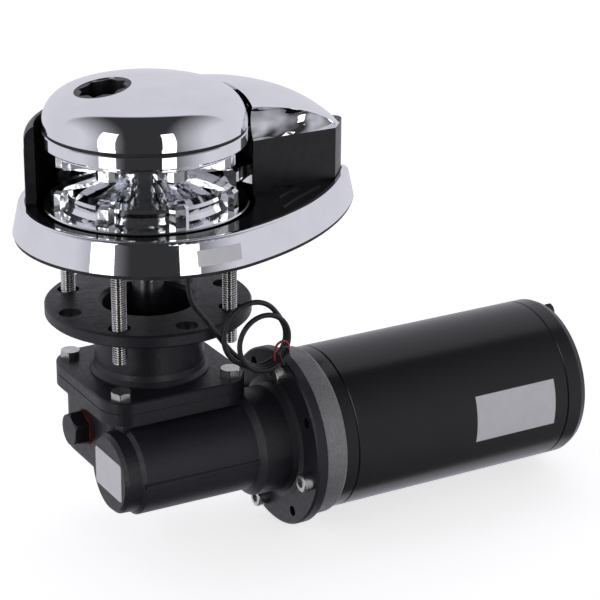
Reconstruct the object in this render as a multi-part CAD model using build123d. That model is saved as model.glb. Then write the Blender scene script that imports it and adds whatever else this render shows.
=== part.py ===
"""Vertical anchor windlass: deck unit with chain gypsy above, worm gearbox and DC motor below.

Frame: the origin is where the main shaft crosses the deck, Z is up, X runs aft along the
base and along the motor, and Y is to port. All sizes are millimetres.
"""
import os
from math import cos, degrees, hypot, pi, radians, sin, sqrt, tan

from build123d import *

os.makedirs("parts", exist_ok=True)

# Deck outline: back arc, two long side arcs and a nose arc
BASE_R = 74.7
BACK_X = 5.0
SIDE_CX = -18.0
SIDE_CY = 98.0
NOSE_R = 11.8

# Deck unit heights
GASKET_T = 2.0
GASKET_INSET = 0.6
PLATE_T = 9.0
RIM_H = 16.5
RIM_DRAFT = 3.5
RIM_WALL = 6.8
RIM_ROUND = 2.0
TRAY_T = 6.2
TRAY_SKIN = 1.5
FIT = 0.3
RUN_FIT = 0.04

# Black housing around the gypsy and the tail
WALL_INSET = 7.4
WALL_T = 3.0
GUARD_T = 5.3
WALL_Z = 46.5
SHOULDER_Z = 60.0
SHOULDER_DROP = 8.0
WALL_END_DEG = 160.0
GUARD_STEP = 0.2
TAIL_Y = -17.0
COVER_START_X = -2.0

# Chrome tail cover
COVER_T = 2.5
COVER_FRONT_T = 8.0
CROWN_Y = 20.0
CROWN_DROP = 9.9
CROWN_HALF = 45.0
CROWN_LINE = [(-6, 64.0), (12, 66.5), (30, 69.0), (50, 70.3), (70, 68.2), (85, 64.3),
              (98, 59.2), (108, 53.2), (118, 44.5)]
SCOOP_X = 47.0
SCOOP_LEN = 64.0
SCOOP_DEEP = 10.0
SCOOP_HIGH = 10.5
SCOOP_OUT = 4.5
SCOOP_Z = 57.0
SCOOP_TILT = 5.5

# Chain pipe
PIPE_X = 79.0
PIPE_Y = 9.0
PIPE_R = 20.0

# Thin guides moulded on the tray beside the chain's way
GUIDE_W = 0.9
GUIDE_H = 0.8
GUIDE_Z = GASKET_T + PLATE_T + TRAY_T
TRAY_GUIDES = [
    [(59.0, -42.0, GUIDE_Z), (76.0, -30.5, GUIDE_Z), (92.0, -22.0, GUIDE_Z)],
    [(60.0, -31.5, GUIDE_Z), (70.0, -24.0, GUIDE_Z), (80.0, -20.0, GUIDE_Z)],
]

# Chain stripper
STRIPPER_OUT = 6.0
STRIPPER_DEG = 39.0
STRIPPER_T = 2.4
STRIPPER_PLAN = [(-34.5, 62), (-17, 52), (-5, 47), (5, 43), (5, 35), (-5, 35), (-19, 42), (-34.5, 56)]

# Deck studs and the gearbox flange
STUD_R = 4.0
STUD_PCD = 90.5
STUD_N = 4
STUD_BITE = 8.0
STUD_END_Z = -56.5
STUD_CHAMFER = 0.8
STUD_CORE_R = 3.7
DECK_GAP = 36.9
FLANGE_R = 55.0
FLANGE_T = 7.0
FLANGE_HOLES = 8
FLANGE_HOLE_R = 6.0

# Main shaft and what it carries above the deck
SHAFT_R = 8.5
THREAD_R = 7.5
BUSH_R = 11.0
BOSS_R = 17.0
BOSS_H = 3.0
COLLAR_R = 13.0
COLLAR_DROP = 8.0
WASHER_T = 1.0
KEY_W = 5.0
KEY_OUT = 2.3

# Chain gypsy
GYPSY_Z = 15.0
WELL_GAP = 3.0
GYPSY_EDGE = 3.0
DRUM_STEP = 9.5
DRUM_TOP = 31.0
TEETH = 8
TOOTH_DEG = -6.0
TOOTH_W = 10.5
TOOTH_STEP = 3.0
TOOTH_TOP = 30.0
RIB_W = 9.0
NECK_R = 20.0
RIB_TOP = 36.6
NECK_TOP = 39.6
UPPER_LUG_Z = 41.0
UPPER_STEP = 4.0
UPPER_LIP = 2.2
UPPER_TOP = 50.0
CONE_WALL = 10.5
CONE_FALL = 10.0
CONE_H = 14.0
UPPER_CONE_IN = 14.0
UPPER_CONE_RIM = 8.0
UPPER_CONE_Z = 43.5
CONE_GAP = 0.3
SLIDE_GAP = 0.05

MAGNET_R = 2.0
MAGNET_ANGLE = -97.0

# Clutch ring, seal and cap
CAP_STEP = 0.8
RING_Z = 50.4
RING_TOP = 57.5
SEAL_STEP = 1.0
SEAL_W = 5.0
CAP_Z = 59.5
CAP_SIDE_Z = 61.0
CAP_SHOULDER_R = 17.0
CAP_CROWN_DEG = 18.0
CAP_WALL = 4.0
CAP_FLOOR = 68.0
SOCKET_X = -22.4
SOCKET_Y = 2.1
SOCKET_R = 14.8
SOCKET_POINTS = 8

# Gearbox
PLATE_HALF = 42.0
PLATE_CORNER = 17.0
PLATE_Z = -76.0
COVER_PLATE_T = 6.0
BORE_R = 24.5
NECK_OUT_R = 29.5
BOLT_SPAN = 64.0
SEAM_T = 0.6
CHAMBER_HALF = 37.0
CHAMBER_CORNER = 14.0
CHAMBER_R = 33.0
CHAMBER_FLOOR = -123.5
CHAMBER_LEDGE = 6.5
FLOOR_T = 4.5
FOOT_R = 22.0
FOOT_Z = -141.0
SHAFT_FOOT_Z = -137.5
WORM_Y = -38.0
WORM_Z = -114.5
WORM_CASE_R = 24.0
WORM_CASE_X = -43.0
WORM_NOSE_R = 21.5
PLUG_Y = 4.0
PLUG_Z = -105.5
WORM_NOSE_L = 9.0
COLLAR_X = 36.0
CASE_COLLAR_R = 28.5
MOTOR_FLANGE_X = 55.0
MOTOR_FLANGE_T = 6.0
MOTOR_FLANGE_RIM = 4.4
SCREW_INSET = 7.7
SCREW_DEG = 76.0

# Worm gear
MODULE = 1.75
WHEEL_TEETH = 34
WHEEL_W = 16.0
WORM_HALF = 20.0
TOOTH_SHARE = 0.40

# Bearings: bore radius, outer radius, width
MAIN_BEARING = (SHAFT_R, 17.5, 10.0)
WORM_BEARING = (7.5, 17.5, 11.0)
WORM_BEARING_X = (-37.0, 28.0)
BALLS = 7

# Motor
ADAPTER_RIM = 1.9
ADAPTER_L = 14.0
MOTOR_R = 44.6
TUBE_WALL = 3.0
BELL_L = 8.0
MOTOR_SEAM_X = 219.0
REAR_CAP_L = 14.0
AIR_GAP = 1.2
CORE_X = (98.0, 172.0)
MAGNET_X = (94.0, 176.0)
MAGNET_T = 5.0
MAGNET_DEG = 68.0
TIE_INSET = 3.2
TIE_DEGS = (90, 270)
TIE_BOLT_R = 2.5
MOTOR_SHAFT_R = 7.5
SLOTS = 12
COMMUTATOR_R = 15.0
COMMUTATOR_X = (186.0, 200.0)

# Chain counter and its lead
SENSOR_X = -7.4
SENSOR_Y = -62.0
SENSOR_R = 4.5
GLAND_R = 2.7
LEAD_R = 1.4
LEAD_POINTS = [(-7.4, -62.0, -6.0), (-7.4, -62.0, -16.0), (2.8, -61.0, -28.2),
               (12.2, -57.6, -41.6), (21.5, -57.4, -54.0), (31.3, -58.2, -61.5)]
COIL_RINGS = [(30.0, -41.8, 17.2, -58.2, -63.4), (35.6, -46.9, 15.2, -56.7, -67.1)]
COIL_HALF = 2.0
TAIL_R = 0.6
TAIL_ROUTES = [
    [(50.8, -65.6, -44.5), (50.8, -66.6, -38.5), (46.2, -68.6, -35.0), (42.2, -68.4, -38.6),
     (42.8, -68.0, -45.6)],
    [(50.8, -65.6, -44.5), (49.6, -67.4, -40.0), (45.8, -69.6, -38.4), (43.8, -69.8, -42.8),
     (46.8, -69.6, -48.4)],
]

# Values worked out from the sizes above
SPREAD = hypot(SIDE_CX - BACK_X, SIDE_CY)
NOSE_X = SIDE_CX + sqrt((BASE_R + SPREAD - NOSE_R) ** 2 - SIDE_CY ** 2)
GUARD_R = BASE_R - WALL_INSET - GUARD_STEP
WELL_R = BASE_R - BACK_X - WALL_INSET - GUARD_T
GYPSY_R = WELL_R - WELL_GAP
DRUM_R = GYPSY_R - DRUM_STEP
TOOTH_R = GYPSY_R - TOOTH_STEP
UPPER_R = GYPSY_R - UPPER_STEP
LOWER_CONE = (DRUM_R - CONE_WALL, DRUM_R - CONE_WALL - CONE_FALL, CONE_H)
UPPER_CONE_OUT = UPPER_R - UPPER_CONE_RIM
CAP_R = GYPSY_R - CAP_STEP
SEAL_R = CAP_R - SEAL_STEP
STRIPPER_R = WELL_R + STRIPPER_OUT
PLATE_TOP = GASKET_T + PLATE_T
RIM_TOP = GASKET_T + RIM_H
TRAY_TOP = PLATE_TOP + TRAY_T
BOSS_TOP = PLATE_TOP + BOSS_H
FLANGE_Z = -DECK_GAP
SEAM_Z = PLATE_Z - COVER_PLATE_T
CASE_TOP = SEAM_Z - SEAM_T
PITCH = pi * MODULE
WHEEL_R = MODULE * WHEEL_TEETH / 2
WORM_R = -WORM_Y - WHEEL_R
MOTOR_FLANGE_FACE = MOTOR_FLANGE_X + MOTOR_FLANGE_T
BELL_X = MOTOR_FLANGE_FACE + ADAPTER_L
TUBE_X = BELL_X + BELL_L
TUBE_IN_R = MOTOR_R - TUBE_WALL
MOTOR_END_X = MOTOR_SEAM_X + REAR_CAP_L
MOTOR_FLANGE_R = MOTOR_R + MOTOR_FLANGE_RIM
SCREW_PCD_R = MOTOR_FLANGE_R - SCREW_INSET
ADAPTER_R = MOTOR_R + ADAPTER_RIM
CORE_R = TUBE_IN_R - MAGNET_T - AIR_GAP
TIE_R = TUBE_IN_R - TIE_INSET
MAIN_BEARING_Z = (CHAMBER_FLOOR - FLOOR_T - MAIN_BEARING[2], SEAM_Z)
MOTOR_BEARING_X = BELL_X + 1.0


def polar(radius, angle):
    """Point on a circle about the shaft, angle in degrees from X."""
    return radius * cos(radians(angle)), radius * sin(radians(angle))


def rod(radius, z0, z1, x=0.0, y=0.0):
    """Upright cylinder between two heights."""
    return Pos(x, y, (z0 + z1) / 2) * Cylinder(radius, z1 - z0)


def pipe(inner, outer, z0, z1, x=0.0, y=0.0):
    """Upright tube between two heights."""
    return rod(outer, z0, z1, x, y) - rod(inner, z0 - 1, z1 + 1, x, y)


def rod_x(radius, x0, x1, y=WORM_Y, z=WORM_Z):
    """Cylinder along X, on the worm axis unless told otherwise."""
    return Pos((x0 + x1) / 2, y, z) * Rot(0, 90, 0) * Cylinder(radius, x1 - x0)


def pipe_x(inner, outer, x0, x1, y=WORM_Y, z=WORM_Z):
    """Tube along X, on the worm axis unless told otherwise."""
    return rod_x(outer, x0, x1, y, z) - rod_x(inner, x0 - 1, x1 + 1, y, z)


def block(x0, x1, y0, y1, z0, z1):
    """Box between its lowest and highest corners."""
    return Pos((x0 + x1) / 2, (y0 + y1) / 2, (z0 + z1) / 2) * Box(x1 - x0, y1 - y0, z1 - z0)


def turned(points):
    """Solid turned about the shaft axis from (radius, height) points."""
    outline = Polyline(*[(r, 0, z) for r, z in points], close=True)
    return revolve(make_face(outline), Axis.Z)


def turned_x(points):
    """Solid turned about the worm axis from (x, radius) points."""
    outline = Polyline(*[(x, WORM_Y, WORM_Z + r) for x, r in points], close=True)
    axis = Axis((0, WORM_Y, WORM_Z), (1, 0, 0))
    return revolve(make_face(outline), axis)


def hexagon_bolt(head_af, head_h, shank_r, shank_l):
    """Hexagon bolt with its seat at the origin and its shank pointing down."""
    head = extrude(RegularPolygon(head_af / 2, 6, major_radius=False), head_h)
    crown = Pos(0, 0, head_h / 2) * Cylinder(head_af / 2 * 1.13, head_h)
    crown = chamfer(crown.edges().sort_by(Axis.Z)[-1], head_h * 0.14)
    return (head & crown) + rod(shank_r, -shank_l, 0)


def cap_screw(head_r, head_h, shank_r, shank_l):
    """Socket cap screw with its seat at the origin and its shank pointing down."""
    head = Pos(0, 0, head_h / 2) * Cylinder(head_r, head_h)
    head = fillet(head.edges().sort_by(Axis.Z)[-1], head_h * 0.12)
    socket = extrude(RegularPolygon(head_r * 0.5, 6, major_radius=False), head_h * 0.6)
    return head - Pos(0, 0, head_h * 0.5) * socket + rod(shank_r, -shank_l, 0)


def egg(inset, z):
    """Face of the deck outline, drawn in by inset, at height z."""
    back_r = BASE_R - inset
    side_r = BASE_R + SPREAD - inset
    nose_r = NOSE_R - inset
    back_dir = Vector(BACK_X - SIDE_CX, -SIDE_CY, 0).normalized()
    nose_dir = Vector(NOSE_X - SIDE_CX, -SIDE_CY, 0).normalized()
    mid_dir = (back_dir + nose_dir).normalized()
    side_c = Vector(SIDE_CX, SIDE_CY, z)
    back = back_dir * back_r + Vector(BACK_X, 0, z)
    nose = nose_dir * nose_r + Vector(NOSE_X, 0, z)
    mid = side_c + mid_dir * side_r
    mirror_y = lambda p: Vector(p.X, -p.Y, p.Z)
    edges = [
        ThreePointArc(back, mid, nose),
        ThreePointArc(nose, Vector(NOSE_X + nose_r, 0, z), mirror_y(nose)),
        ThreePointArc(mirror_y(nose), mirror_y(mid), mirror_y(back)),
        ThreePointArc(mirror_y(back), Vector(BACK_X - back_r, 0, z), back),
    ]
    return Face(Wire(edges))


def egg_slab(inset, z0, z1):
    """Slab with the deck outline between two heights."""
    return extrude(egg(inset, z0), z1 - z0, dir=(0, 0, 1))


def open_front(z0, z1, tail_y, end_deg=WALL_END_DEG, grow=0.0):
    """Block over the open side of the deck unit, where chain comes in."""
    far = 160.0
    end = polar(far, end_deg)
    points = [(grow, tail_y), (0, 0), end, (-far, -far), (far, -far), (far, tail_y)]
    face = make_face(Polyline(*points, close=True))
    return Pos(0, 0, z0) * extrude(face, z1 - z0)


def square_plate(half, corner, z0, z1):
    """Square plate with rounded corners between two heights."""
    return Pos(0, 0, z0) * extrude(RectangleRounded(2 * half, 2 * half, corner), z1 - z0)


def stud_places():
    """Places of the deck studs, on the diagonals of the gearbox flange."""
    return [polar(STUD_PCD / 2, 45 + k * 360 / STUD_N) for k in range(STUD_N)]


def worm_face(radius, angle):
    """(y, z) on a circle about the worm axis, angle up from the -Y side."""
    return (WORM_Y - radius * cos(radians(angle)), WORM_Z + radius * sin(radians(angle)))


def along_x(x, y, z, flip=False):
    """Location that points a fastener's head to -X, or to +X when flipped."""
    return Pos(x, y, z) * Rot(0, 90 if flip else -90, 0)


def keep(name, *solids):
    """Write one node: a single solid, or a group of separate ones."""
    pieces = [s for piece in solids for s in piece.solids()]
    shape = pieces[0] if len(pieces) == 1 else Compound(children=pieces)
    export_step(shape, f"parts/{name}.step")


# Deck gasket
def deck_gasket():
    sheet = egg_slab(GASKET_INSET, 0, GASKET_T)
    sheet -= rod(COLLAR_R + 1, -1, GASKET_T + 1)
    sheet -= rod(PIPE_R, -1, GASKET_T + 1, PIPE_X, PIPE_Y)
    sheet -= rod(SENSOR_R + FIT, -1, GASKET_T + 1, SENSOR_X, SENSOR_Y)
    for x, y in stud_places():
        sheet -= rod(STUD_CORE_R + FIT, -1, GASKET_T + 1, x, y)
    return sheet


def rim_loft(inset):
    """Solid inside the drafted rim, drawn in by inset."""
    return Solid.make_loft([egg(inset, GASKET_T).outer_wire(), egg(inset + RIM_DRAFT, RIM_TOP).outer_wire()], True)


# Chromed base: a drafted rim around a flat floor with the shaft boss
def base_plate():
    body = rim_loft(0)
    crest = body.edges().filter_by_position(Axis.Z, RIM_TOP - 0.01, RIM_TOP + 0.01)
    body = fillet(crest, RIM_ROUND)
    body -= egg_slab(RIM_WALL, PLATE_TOP, RIM_TOP + 1)
    body += rod(BOSS_R, PLATE_TOP - 1, BOSS_TOP)
    body -= rod(BUSH_R, 0, BOSS_TOP + 1)
    body -= rod(PIPE_R, 0, RIM_TOP, PIPE_X, PIPE_Y)
    body -= rod(SENSOR_R, 0, PLATE_TOP - 1, SENSOR_X, SENSOR_Y)
    for x, y in stud_places():
        body -= rod(STUD_CORE_R, 0, GASKET_T + STUD_BITE, x, y)
    return body


def shaft_bush():
    return pipe(SHAFT_R + RUN_FIT, BUSH_R, GASKET_T, BOSS_TOP)


def shaft_collar():
    body = pipe(SHAFT_R + FIT, COLLAR_R, -COLLAR_DROP, GASKET_T)
    return chamfer(body.edges().filter_by(GeomType.CIRCLE).sort_by(Axis.Z)[:2].sort_by(SortBy.RADIUS)[-1], 1.2)


def lower_thrust_washer():
    return pipe(SHAFT_R + RUN_FIT, BOSS_R - 1, BOSS_TOP, BOSS_TOP + WASHER_T - SLIDE_GAP)


def deck_studs():
    studs = []
    for x, y in stud_places():
        stud = rod(STUD_R, STUD_END_Z, 0, x, y)
        stud = chamfer(stud.edges().sort_by(Axis.Z)[0], STUD_CHAMFER)
        studs.append(stud + rod(STUD_CORE_R, 0, GASKET_T + STUD_BITE, x, y))
    return studs


# Black housing: tray, curved guard wall, hollow tail and two thin chain guides
def housing():
    tray = egg_slab(RIM_WALL + FIT, PLATE_TOP, TRAY_TOP)
    tray -= rod(WELL_R, PLATE_TOP + TRAY_SKIN, TRAY_TOP + 1)
    tray -= rod(BOSS_R + FIT, PLATE_TOP - 1, TRAY_TOP)
    walls = egg_slab(WALL_INSET, TRAY_TOP - 1, WALL_Z) - rod(WELL_R, TRAY_TOP - 2, WALL_Z + 1)
    walls -= open_front(TRAY_TOP - 2, WALL_Z + 1, TAIL_Y)
    room = egg_slab(WALL_INSET + WALL_T, TRAY_TOP, WALL_Z + 1)
    room -= open_front(TRAY_TOP - 1, WALL_Z + 2, TAIL_Y + WALL_T, 150)
    room -= block(-200, 12, -200, 200, TRAY_TOP - 1, WALL_Z + 2)
    walls -= room
    body = tray + walls + guard_wall()
    for guide in TRAY_GUIDES:
        body += extrude(trace(ThreePointArc(*guide), line_width=GUIDE_W), GUIDE_H)
    for x, y in stripper_holes():
        body -= rod(1.6, TRAY_TOP - 3.4, TRAY_TOP + 1, x, y)
    body -= rod(PIPE_R, 0, TRAY_TOP + 1, PIPE_X, PIPE_Y)
    return body


def guard_wall():
    """Part of the guard that stands higher, with a rounded outer shoulder."""
    inner = WELL_R - 3
    shoulder = ThreePointArc(
        (GUARD_R, 0, SHOULDER_Z - SHOULDER_DROP),
        (GUARD_R - 1.3, 0, SHOULDER_Z - SHOULDER_DROP * 0.38),
        (GUARD_R - GUARD_T + 0.8, 0, SHOULDER_Z),
    )
    rest = Polyline(
        (GUARD_R - GUARD_T + 0.8, 0, SHOULDER_Z), (inner, 0, SHOULDER_Z),
        (inner, 0, WALL_Z), (GUARD_R, 0, WALL_Z), (GUARD_R, 0, SHOULDER_Z - SHOULDER_DROP),
    )
    wall = Pos(BACK_X, 0, 0) * revolve(make_face(Curve() + [shoulder, rest]), Axis.Z)
    wall -= rod(WELL_R + GUARD_STEP, WALL_Z - 1, SHOULDER_Z + 1)
    wall -= open_front(WALL_Z - 1, SHOULDER_Z + 1, TAIL_Y)
    return wall - block(COVER_START_X - GUARD_STEP, 200, -200, 200, WALL_Z - 1, SHOULDER_Z + 1)


# Chrome tail cover: a crowned shell over the tail with a scooped flank
def crown(drop):
    """Solid under the crowned top surface, lowered by drop."""
    sections = []
    for x, z in CROWN_LINE:
        top = z - drop
        low = top - CROWN_DROP
        arc = ThreePointArc((x, CROWN_Y - CROWN_HALF, low), (x, CROWN_Y, top), (x, CROWN_Y + CROWN_HALF, low))
        foot = Polyline(
            (x, CROWN_Y + CROWN_HALF, low), (x, CROWN_Y + CROWN_HALF, 20),
            (x, CROWN_Y - CROWN_HALF, 20), (x, CROWN_Y - CROWN_HALF, low),
        )
        sections.append(Wire([arc] + foot.edges()))
    return Solid.make_loft(sections)


def cover_footprint(inset, front_t, z0, z1, well_gap, start_gap):
    """Upright prism over the plan of the tail cover."""
    body = egg_slab(WALL_INSET + inset, z0, z1) - rod(WELL_R + well_gap, z0 - 1, z1 + 1)
    body -= open_front(z0 - 1, z1 + 1, TAIL_Y + front_t)
    body -= block(-200, COVER_START_X + start_gap, -200, 200, z0 - 1, z1 + 1)
    return body


def top_cover():
    shell = cover_footprint(0, 0, WALL_Z, 90, 0, 0) & crown(0)
    hollow = cover_footprint(COVER_T, COVER_FRONT_T, WALL_Z - 1, 90, COVER_T, COVER_T) & crown(COVER_T)
    scoop = scale(Sphere(1), by=(SCOOP_LEN, SCOOP_DEEP, SCOOP_HIGH))
    scoop = Pos(SCOOP_X, TAIL_Y - SCOOP_OUT, SCOOP_Z) * Rot(0, SCOOP_TILT, 0) * scoop
    return shell - hollow - scoop


# Chain stripper: a finger that lifts chain out of the gypsy into the chain pipe
def chain_stripper():
    z0 = RIB_TOP - 0.2
    finger = make_face(Polyline(*[polar(STRIPPER_R + out, a) for out, a in STRIPPER_PLAN], close=True))
    finger = Pos(0, 0, z0) * extrude(finger, STRIPPER_T)
    post = block(STRIPPER_R - 4.5, STRIPPER_R + 4, -4.5, 3, TRAY_TOP, z0 + STRIPPER_T)
    foot = block(STRIPPER_R - 5, STRIPPER_R + 5, -12, 9, TRAY_TOP, TRAY_TOP + 3)
    body = finger + Rot(0, 0, STRIPPER_DEG) * (post + foot)
    for x, y in stripper_holes():
        body -= rod(1.7, TRAY_TOP - 1, TRAY_TOP + 4, x, y)
    return body


def stripper_holes():
    turn = Rot(0, 0, STRIPPER_DEG)
    places = [(turn * Pos(STRIPPER_R, dy, 0)).position for dy in (-8.5, 6.2)]
    return [(p.X, p.Y) for p in places]


def stripper_screws():
    return [Pos(x, y, TRAY_TOP + 3) * cap_screw(2.8, 2.6, 1.6, 6) for x, y in stripper_holes()]


# Chain gypsy: two toothed halves that face each other across the chain's groove
def gypsy():
    lower_r, upper_r, height = LOWER_CONE
    flange_top = GYPSY_Z + GYPSY_EDGE
    profile = [
        (lower_r, GYPSY_Z), (GYPSY_R - 1, GYPSY_Z), (GYPSY_R, GYPSY_Z + 1), (GYPSY_R, flange_top - 0.6),
        (GYPSY_R - 0.6, flange_top), (DRUM_R + 2.5, flange_top + 0.4), (DRUM_R + 0.6, flange_top + 1.4),
        (DRUM_R - 0.6, flange_top + 4.0), (DRUM_R - 0.4, flange_top + 7.0), (DRUM_R - 1.4, flange_top + 8.6),
        (DRUM_R - 6, flange_top + 10.6), (NECK_R + 4, DRUM_TOP + 1), (NECK_R + 0.8, DRUM_TOP + 3),
        (NECK_R, RIB_TOP - 1), (NECK_R, NECK_TOP), (NECK_R + 1.2, NECK_TOP + 1.4),
        (UPPER_R - 8, UPPER_TOP - UPPER_LIP - 1.4),
        (UPPER_R - 1, UPPER_TOP - UPPER_LIP), (UPPER_R, UPPER_TOP - UPPER_LIP + 0.8),
        (UPPER_R, UPPER_TOP - 0.5),
        (UPPER_R - 0.5, UPPER_TOP), (UPPER_CONE_OUT, UPPER_TOP), (UPPER_CONE_IN, UPPER_CONE_Z),
        (SHAFT_R + RUN_FIT, UPPER_CONE_Z), (SHAFT_R + RUN_FIT, GYPSY_Z + height), (upper_r, GYPSY_Z + height),
    ]
    body = turned(profile)
    for k in range(TEETH):
        turn = Rot(0, 0, TOOTH_DEG + k * 360 / TEETH)
        body += turn * lower_tooth()
        body += turn * upper_tooth()
    x, y = polar(GYPSY_R - 6, MAGNET_ANGLE)
    return body - rod(MAGNET_R, GYPSY_Z - 1, GYPSY_Z + 2.2, x, y)


def tooth_plan(outer, half_width, z0, z1):
    """Wedge that narrows a rib towards the neck."""
    inner = NECK_R - 2
    plan = Polyline((inner, -2.4), (inner, 2.4), (outer, half_width), (outer, -half_width), close=True)
    return Pos(0, 0, z0) * extrude(make_face(plan), z1 - z0)


def lower_tooth():
    """Square lug on the drum and the rib that climbs from it to the neck."""
    lug = block(DRUM_R - 3, TOOTH_R, -TOOTH_W / 2, TOOTH_W / 2, GYPSY_Z + GYPSY_EDGE - 0.5, TOOTH_TOP)
    lug = chamfer(lug.edges().filter_by(Axis.Z).sort_by(Axis.X)[-2:], 2.4)
    lug = chamfer(lug.faces().sort_by(Axis.Z)[-1].edges().sort_by(Axis.X)[-3:], 1.6)
    side = make_face(Polyline(
        (NECK_R - 1, 0, DRUM_TOP), (NECK_R - 1, 0, RIB_TOP), (NECK_R + 4, 0, RIB_TOP - 0.6),
        (DRUM_R + 0.5, 0, DRUM_TOP + 0.8), (TOOTH_R - 2.5, 0, TOOTH_TOP - 1.2), (DRUM_R, 0, DRUM_TOP - 4),
        (DRUM_R - 1, 0, DRUM_TOP - 1), (NECK_R - 1, 0, DRUM_TOP - 1), close=True))
    rib = extrude(side, TOOTH_W / 2, both=True)
    return lug + (rib & tooth_plan(TOOTH_R, RIB_W / 2, DRUM_TOP - 6, NECK_TOP))


def upper_tooth():
    """Lug under the upper flange and the rib that falls from it to the neck."""
    flange_low = UPPER_TOP - UPPER_LIP
    lug = block(DRUM_R - 2, UPPER_R - 0.6, -TOOTH_W / 2, TOOTH_W / 2, UPPER_LUG_Z, flange_low)
    lug = chamfer(lug.edges().filter_by(Axis.Z).sort_by(Axis.X)[-2:], 2.4)
    lug = chamfer(lug.faces().sort_by(Axis.Z)[0].edges().sort_by(Axis.X)[-3:], 1.6)
    side = make_face(Polyline(
        (NECK_R - 1, 0, NECK_TOP + 2), (NECK_R - 1, 0, NECK_TOP - 1.2), (NECK_R + 4, 0, NECK_TOP - 0.6),
        (DRUM_R - 2, 0, UPPER_LUG_Z - 0.2), (DRUM_R + 1, 0, UPPER_LUG_Z + 1), (DRUM_R + 1, 0, flange_low),
        (DRUM_R - 6, 0, flange_low - 1.0), close=True))
    rib = extrude(side, TOOTH_W / 2, both=True)
    return lug + (rib & tooth_plan(TOOTH_R, RIB_W / 2, NECK_TOP - 3, UPPER_TOP))


def counter_magnet():
    x, y = polar(GYPSY_R - 6, MAGNET_ANGLE)
    return rod(MAGNET_R, GYPSY_Z, GYPSY_Z + 2.2, x, y)


# Clutch, cap and lever socket
def lower_cone():
    lower_r, upper_r, height = LOWER_CONE
    slope = (lower_r - upper_r) / height
    body = turned([
        (SHAFT_R, GYPSY_Z + 0.05), (lower_r - CONE_GAP - slope * 0.05, GYPSY_Z + 0.05),
        (upper_r - CONE_GAP + slope * 0.3, GYPSY_Z + height - 0.3), (SHAFT_R, GYPSY_Z + height - 0.3),
    ])
    return body - keyway(GYPSY_Z + 1, GYPSY_Z + height - 1)


def keyway(z0, z1):
    return block(SHAFT_R - KEY_OUT, SHAFT_R + KEY_OUT, -KEY_W / 2, KEY_W / 2, z0, z1)


def clutch_ring():
    body = turned([
        (SHAFT_R + RUN_FIT, UPPER_CONE_Z + 0.3), (UPPER_CONE_IN, UPPER_CONE_Z + 0.3),
        (UPPER_CONE_OUT - 0.5, RING_Z), (CAP_R - 0.8, RING_Z), (CAP_R, RING_Z + 0.8),
        (CAP_R, RING_TOP - 0.5), (CAP_R - 0.5, RING_TOP), (SHAFT_R + RUN_FIT, RING_TOP),
    ])
    return body - keyway(UPPER_CONE_Z, RING_TOP - 1)


def cap_profile(inset):
    """Dome outline of the cap as wires from its foot to its crown, drawn in by inset."""
    shoulder = CAP_SHOULDER_R - inset
    joint = radians(90 - CAP_CROWN_DEG)
    cx = CAP_R - CAP_SHOULDER_R
    end = (cx + shoulder * cos(joint), CAP_SIDE_Z + shoulder * sin(joint))
    mid = (cx + shoulder * cos(joint / 2), CAP_SIDE_Z + shoulder * sin(joint / 2))
    crown_r = (cx + CAP_SHOULDER_R * cos(joint)) / sin(radians(CAP_CROWN_DEG)) - inset
    crown_c = CAP_SIDE_Z + CAP_SHOULDER_R * sin(joint) - (crown_r + inset) * cos(radians(CAP_CROWN_DEG))
    half = radians(CAP_CROWN_DEG / 2)
    over = (crown_r * sin(half), crown_c + crown_r * cos(half))
    top = (0, crown_c + crown_r)
    return end, mid, over, top


def dome(inset, z0):
    """Solid under the cap's dome, drawn in by inset, standing on height z0."""
    end, mid, over, top = cap_profile(inset)
    r = CAP_R - inset
    at = lambda p: (p[0], 0, p[1])
    outline = Curve() + [
        Line((0, 0, z0), (r, 0, z0)), Line((r, 0, z0), (r, 0, CAP_SIDE_Z)),
        ThreePointArc((r, 0, CAP_SIDE_Z), at(mid), at(end)),
        ThreePointArc(at(end), at(over), at(top)), Line(at(top), (0, 0, z0)),
    ]
    return revolve(make_face(outline), Axis.Z)


def cap():
    body = dome(0, CAP_Z)
    hollow = dome(CAP_WALL, CAP_Z - 1) & rod(CAP_R, CAP_Z - 2, CAP_FLOOR - 3)
    body -= hollow - rod(BOSS_R, CAP_Z - 3, CAP_FLOOR)
    body -= rod(THREAD_R + RUN_FIT, CAP_Z - 2, CAP_FLOOR - 1)
    return body - rod(SOCKET_R, CAP_FLOOR, 100, SOCKET_X, SOCKET_Y)


def star(points, outer, inner):
    """Star outline with rounded valleys for the lever socket."""
    corners = []
    for k in range(2 * points):
        r = outer if k % 2 == 0 else inner
        corners.append(polar(r, k * 180 / points))
    return make_face(Polyline(*corners, close=True))


def lever_socket():
    body = rod(SOCKET_R, CAP_FLOOR, 90, SOCKET_X, SOCKET_Y) & dome(0.5, CAP_Z)
    mouth = extrude(star(SOCKET_POINTS, SOCKET_R - 1.6, SOCKET_R - 4.2), 20)
    mouth = Pos(SOCKET_X, SOCKET_Y, CAP_FLOOR + 1.5) * mouth
    return body - mouth


def cap_seal():
    return pipe(SEAL_R - SEAL_W, SEAL_R, RING_TOP + SLIDE_GAP, CAP_Z)


def cap_washer():
    return pipe(THREAD_R + FIT, BOSS_R - 1, RING_TOP + SLIDE_GAP, CAP_Z)


# Main shaft with its worm wheel
def main_shaft():
    body = rod(SHAFT_R, SHAFT_FOOT_Z, RING_TOP) + rod(THREAD_R, RING_TOP - 1, CAP_FLOOR - 2)
    body = chamfer(body.edges().filter_by(GeomType.CIRCLE).sort_by(Axis.Z)[-1], 0.8)
    body -= keyway(GYPSY_Z + 1, GYPSY_Z + LOWER_CONE[2] - 1)
    body -= keyway(UPPER_CONE_Z, RING_TOP - 1)
    return body - keyway(WORM_Z - WHEEL_W / 2, WORM_Z + WHEEL_W / 2)


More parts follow.
